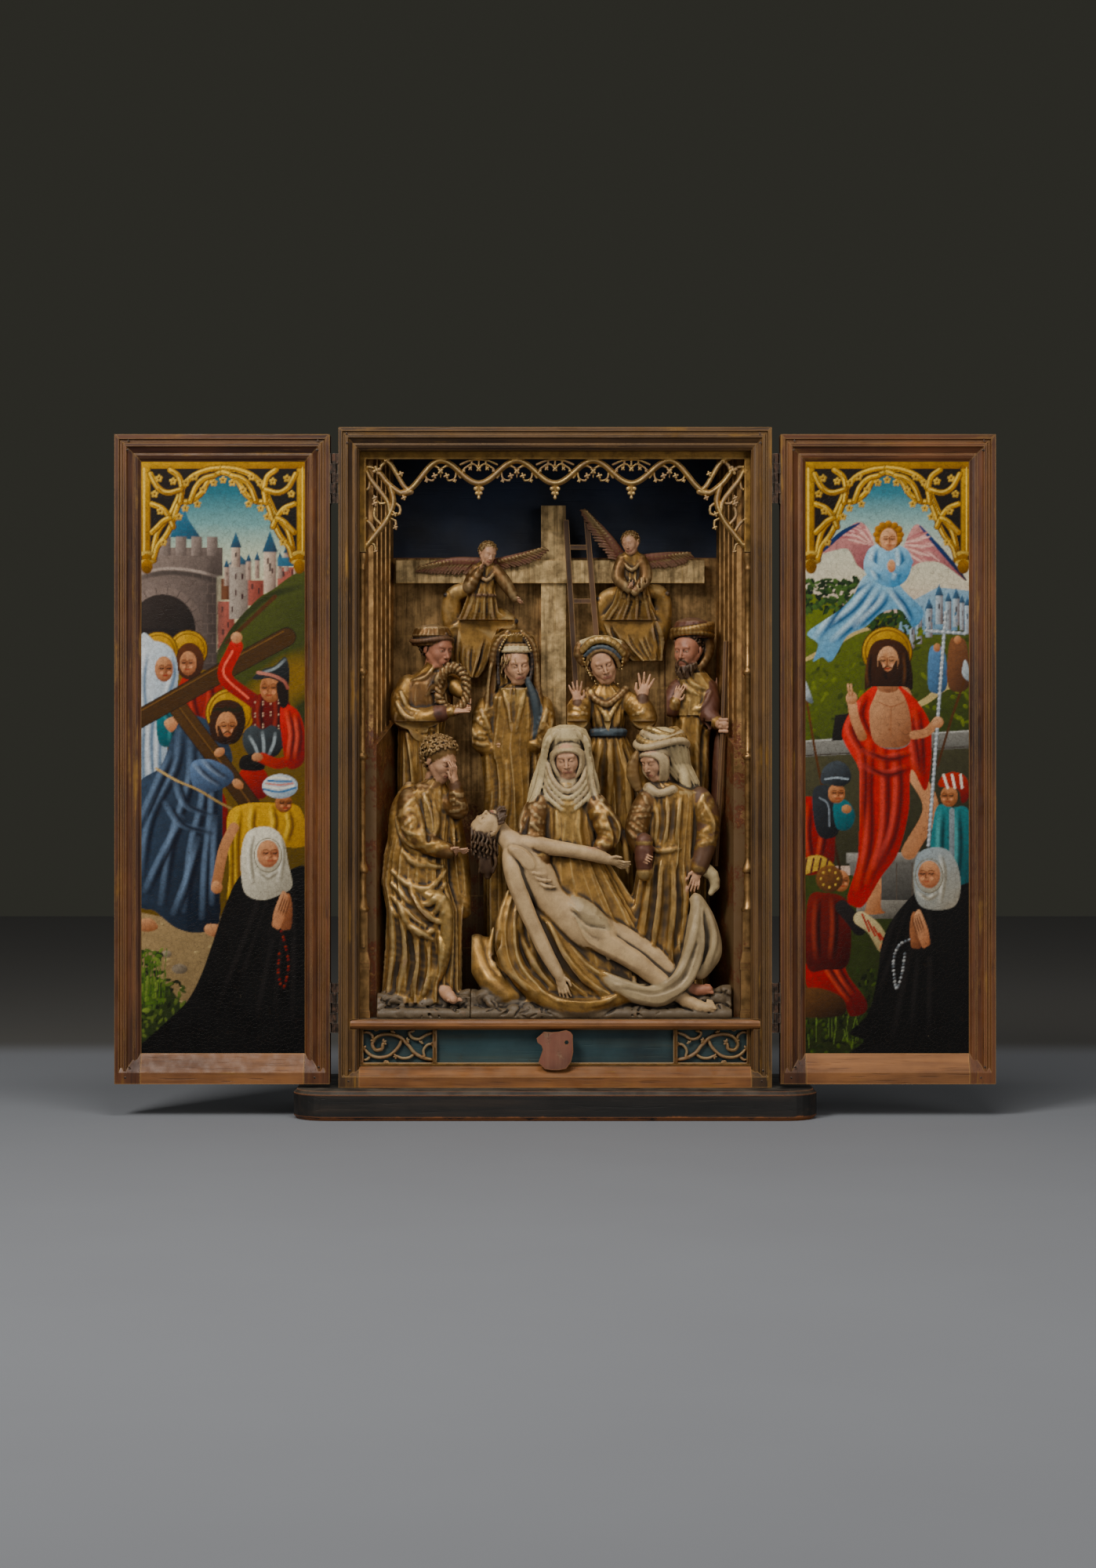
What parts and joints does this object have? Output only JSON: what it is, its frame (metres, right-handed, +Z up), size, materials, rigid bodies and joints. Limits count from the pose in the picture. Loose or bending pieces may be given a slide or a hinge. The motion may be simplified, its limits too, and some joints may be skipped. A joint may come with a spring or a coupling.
{
  "type": "folding altarpiece",
  "caption": "Folding altarpiece: an oak shrine with a carved and gilded group under pierced tracery, closed by painted wings on iron hinges.",
  "frame": {"origin": "middle of the plinth's underside, at the bottom centre of the whole altarpiece with its wings open", "axes": "+X to the right as the viewer sees the front, +Y into the shrine from front to back, +Z up; the front faces -Y"},
  "size_m": [1.237, 0.25, 0.9683],
  "materials": {
    "brown_oak": "worn brown oak with traces of gilding",
    "black_oak": "black paint worn to brown wood on its edges",
    "gilded_wood": "worn water gilding over wood",
    "night_blue_wood": "matt night blue paint",
    "green_blue_wood": "matt green blue paint",
    "red_worn_wood": "worn red paint",
    "painted_panel": "painted and varnished panel",
    "painted_carving": "carved wood, gilded and painted, worn",
    "forged_iron": "dark forged iron"
  },
  "bodies": {
    "shrine": {"plinth": "black_oak", "case_side_left": "brown_oak", "case_side_right": "brown_oak", "case_top": "brown_oak", "case_bottom": "brown_oak", "case_back": "brown_oak", "shrine_stile_left": "brown_oak", "shrine_stile_right": "brown_oak", "shrine_top_rail": "brown_oak", "shrine_sill": "brown_oak", "niche_nosing": "brown_oak", "predella_fretwork": "brown_oak", "predella_blue_board": "green_blue_wood", "niche_floor": "brown_oak", "shield": "red_worn_wood", "tracery": "gilded_wood", "jamb_left": "gilded_wood", "jamb_right": "gilded_wood", "colonnette_left": "gilded_wood", "colonnette_right": "gilded_wood", "gilded_plank_1": "gilded_wood", "gilded_plank_2": "gilded_wood", "gilded_plank_3": "gilded_wood", "sky_board": "night_blue_wood", "cross_upright": "gilded_wood", "cross_beam": "gilded_wood", "ladder": "brown_oak", "man_with_wreath": "painted_carving", "woman_in_mantle": "painted_carving", "woman_with_raised_hands": "painted_carving", "man_with_staff": "painted_carving", "staff": "brown_oak", "angel_left": "painted_carving", "angel_right": "painted_carving", "mourner_block": "painted_carving", "lamentation_block": "painted_carving", "hinge_left_upper_shrine_leaf": "forged_iron", "hinge_left_lower_shrine_leaf": "forged_iron", "hinge_right_upper_shrine_leaf": "forged_iron", "hinge_right_lower_shrine_leaf": "forged_iron"},
    "left_wing": {"left_wing_stile_left": "brown_oak", "left_wing_stile_right": "brown_oak", "left_wing_top_rail": "brown_oak", "left_wing_sill": "brown_oak", "left_wing_panel": "painted_panel", "hinge_left_upper_wing_leaf": "forged_iron", "hinge_left_lower_wing_leaf": "forged_iron"},
    "right_wing": {"right_wing_stile_left": "brown_oak", "right_wing_stile_right": "brown_oak", "right_wing_top_rail": "brown_oak", "right_wing_sill": "brown_oak", "right_wing_panel": "painted_panel", "hinge_right_upper_wing_leaf": "forged_iron", "hinge_right_lower_wing_leaf": "forged_iron"}
  },
  "joints": [
    {"name": "left_wing_hinge", "type": "hinge", "parent": "shrine", "child": "left_wing", "pos_m": [-0.31, -0.076, 0.497], "axis": [0, 0, 1], "range_deg": [0, 180]},
    {"name": "right_wing_hinge", "type": "hinge", "parent": "shrine", "child": "right_wing", "pos_m": [0.31, -0.076, 0.497], "axis": [0, 0, -1], "range_deg": [0, 180]}
  ]
}
